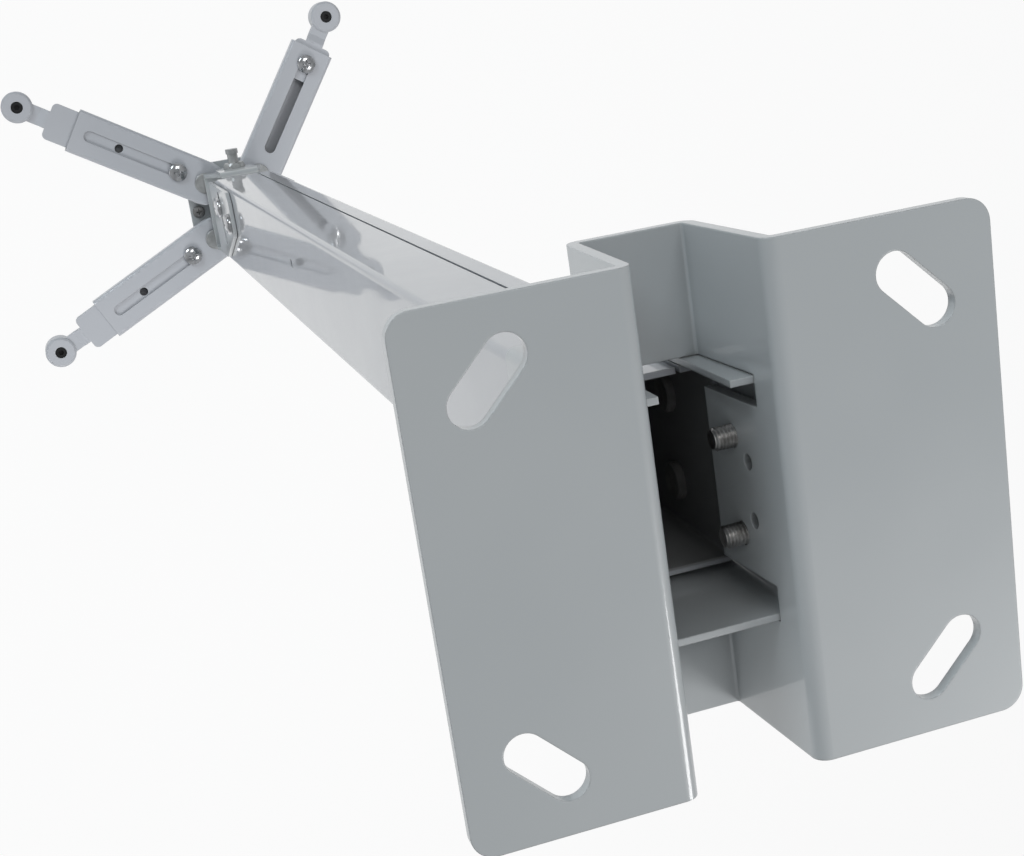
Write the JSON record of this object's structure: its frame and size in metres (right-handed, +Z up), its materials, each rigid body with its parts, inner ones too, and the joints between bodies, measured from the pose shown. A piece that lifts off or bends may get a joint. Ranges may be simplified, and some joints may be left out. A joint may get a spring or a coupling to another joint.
{
  "type": "projector ceiling mount",
  "caption": "Projector ceiling mount: folded steel ceiling plate, long drop beam, tilt and roll joints, and a swivelling hub with telescopic arms that end in eyes with screws.",
  "frame": {"origin": "middle of the ceiling plate, on the ceiling's surface, which both flanges lie against", "axes": "+Z up to the ceiling, +X across the channel of the plate, +Y along the channel; the beam hangs down to -Z"},
  "size_m": [0.2114, 0.2216, 0.7472],
  "materials": {
    "paint": "light grey semi-gloss powder coat",
    "chrome": "bright nickel-chrome plating",
    "zinc": "zinc-plated steel",
    "black": "blackened steel"
  },
  "bodies": {
    "mast": {"ceiling_plate": "paint", "beam_collar": "paint", "drop_beam": "paint", "collar_bolts": "zinc", "collar_washers": "zinc", "beam_screws": "zinc", "beam_nuts": "zinc", "tilt_pivot_screws": "chrome", "tilt_pivot_nuts": "zinc", "tilt_lock_screws": "chrome", "tilt_lock_nuts": "zinc"},
    "tilt": {"tilt_bracket": "paint", "roll_bolt": "zinc", "roll_nut": "zinc", "roll_cap": "zinc"},
    "roll": {"hub_bracket": "paint", "swivel_bolt": "zinc", "swivel_nut": "zinc"},
    "hub": {"hub_plate": "paint", "arm_rivets": "zinc", "hub_screws": "black"},
    "arm_upper_left": {"sleeve_upper_left": "paint"},
    "bar_upper_left": {"bar_upper_left": "paint", "lock_screw_upper_left": "chrome", "eye_screw_upper_left": "black"},
    "arm_lower_left": {"sleeve_lower_left": "paint"},
    "bar_lower_left": {"bar_lower_left": "paint", "lock_screw_lower_left": "chrome", "eye_screw_lower_left": "black"},
    "arm_upper_right": {"sleeve_upper_right": "paint"},
    "bar_upper_right": {"bar_upper_right": "paint", "lock_screw_upper_right": "chrome", "eye_screw_upper_right": "black"},
    "arm_lower_right": {"sleeve_lower_right": "paint"},
    "bar_lower_right": {"bar_lower_right": "paint", "lock_screw_lower_right": "chrome", "eye_screw_lower_right": "black"}
  },
  "joints": [
    {"name": "tilt_pivot", "type": "hinge", "parent": "mast", "child": "tilt", "pos_m": [0, 0.004, -0.606], "axis": [1, 0, 0], "range_deg": [-9, 28.5]},
    {"name": "roll_pivot", "type": "hinge", "parent": "tilt", "child": "roll", "pos_m": [0, 0, -0.702], "axis": [0, 1, 0], "range_deg": [-20, 20]},
    {"name": "hub_swivel", "type": "hinge", "parent": "roll", "child": "hub", "pos_m": [0, 0, -0.735], "axis": [0, 0, 1], "continuous": true},
    {"name": "arm_pivot_upper_left", "type": "hinge", "parent": "hub", "child": "arm_upper_left", "pos_m": [-0.0165, 0.017, -0.7293], "axis": [0, 0, 1], "range_deg": [-25, 25]},
    {"name": "bar_slide_upper_left", "type": "slide", "parent": "arm_upper_left", "child": "bar_upper_left", "axis": [-0.848, 0.5299, 0], "range_m": [0, 0.054]},
    {"name": "arm_pivot_lower_left", "type": "hinge", "parent": "hub", "child": "arm_lower_left", "pos_m": [-0.0165, -0.017, -0.7293], "axis": [0, 0, 1], "range_deg": [-25, 25]},
    {"name": "bar_slide_lower_left", "type": "slide", "parent": "arm_lower_left", "child": "bar_lower_left", "axis": [-0.8988, -0.4384, 0], "range_m": [0, 0.054]},
    {"name": "arm_pivot_upper_right", "type": "hinge", "parent": "hub", "child": "arm_upper_right", "pos_m": [0.0165, 0.017, -0.7293], "axis": [0, 0, 1], "range_deg": [-25, 25]},
    {"name": "bar_slide_upper_right", "type": "slide", "parent": "arm_upper_right", "child": "bar_upper_right", "axis": [0.5592, 0.829, 0], "range_m": [-0.011, 0]},
    {"name": "arm_pivot_lower_right", "type": "hinge", "parent": "hub", "child": "arm_lower_right", "pos_m": [0.0165, -0.017, -0.7293], "axis": [0, 0, 1], "range_deg": [-25, 25]},
    {"name": "bar_slide_lower_right", "type": "slide", "parent": "arm_lower_right", "child": "bar_lower_right", "axis": [0.5592, -0.829, 0], "range_m": [-0.011, 0]}
  ]
}
